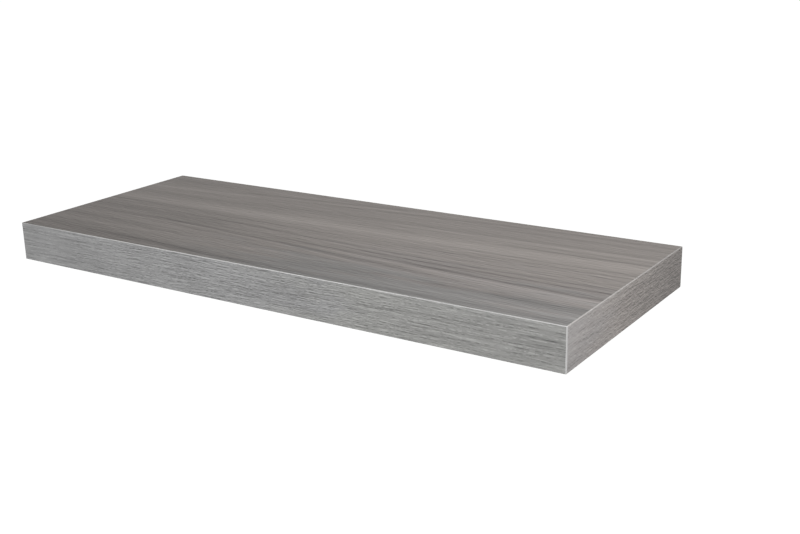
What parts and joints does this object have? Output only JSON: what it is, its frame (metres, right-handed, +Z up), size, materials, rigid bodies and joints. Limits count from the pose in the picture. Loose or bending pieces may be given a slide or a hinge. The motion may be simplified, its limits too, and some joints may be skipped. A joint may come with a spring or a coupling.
{
  "type": "floating wall shelf",
  "caption": "Thick straight floating wall shelf in grey oak decor, a hollow-core board that slides onto a hidden steel bracket with support rods and is held by locking screws from below.",
  "frame": {"origin": "middle of the wall screw hole pattern, on the face that lies against the wall", "axes": "+X along the shelf's length, +Y into the wall, +Z up; the board's front faces -Y"},
  "size_m": [0.6, 0.235, 0.038],
  "materials": {
    "decor_laminate": "grey oak decor, printed and lightly embossed, satin",
    "decor_edge_band": "grey oak decor band with a fine pore emboss, satin, light trimmed edges",
    "fibreboard": "raw fibreboard",
    "chipboard": "raw chipboard",
    "honeycomb_paper": "brown kraft paper",
    "zinc_plated_steel": "bright zinc plate",
    "staple_wire": "galvanised wire",
    "insert_brass": "turned, bright",
    "blackened_steel": "black oxide"
  },
  "bodies": {
    "bracket": {"wall_plate": "zinc_plated_steel", "left_support_rod": "zinc_plated_steel", "right_support_rod": "zinc_plated_steel"},
    "board": {"top_laminate": "decor_laminate", "bottom_laminate": "decor_laminate", "top_skin": "fibreboard", "bottom_skin": "fibreboard", "front_edge_band": "decor_edge_band", "left_edge_band": "decor_edge_band", "right_edge_band": "decor_edge_band", "front_rail": "chipboard", "rear_rail": "chipboard", "centre_rail": "chipboard", "left_rail": "chipboard", "right_rail": "chipboard", "left_rod_block": "chipboard", "right_rod_block": "chipboard", "left_outer_core": "honeycomb_paper", "left_inner_core": "honeycomb_paper", "right_inner_core": "honeycomb_paper", "right_outer_core": "honeycomb_paper", "frame_staples": "staple_wire", "left_threaded_insert": "insert_brass", "right_threaded_insert": "insert_brass"},
    "left_screw": {"left_locking_screw": "blackened_steel"},
    "right_screw": {"right_locking_screw": "blackened_steel"}
  },
  "joints": [
    {"name": "board_slide", "type": "slide", "parent": "bracket", "child": "board", "axis": [0, -1, 0], "range_m": [0, 0.16]},
    {"name": "left_screw_travel", "type": "slide", "parent": "board", "child": "left_screw", "axis": [0, 0, -1], "range_m": [0, 0.0025]},
    {"name": "right_screw_travel", "type": "slide", "parent": "board", "child": "right_screw", "axis": [0, 0, -1], "range_m": [0, 0.0025]}
  ]
}
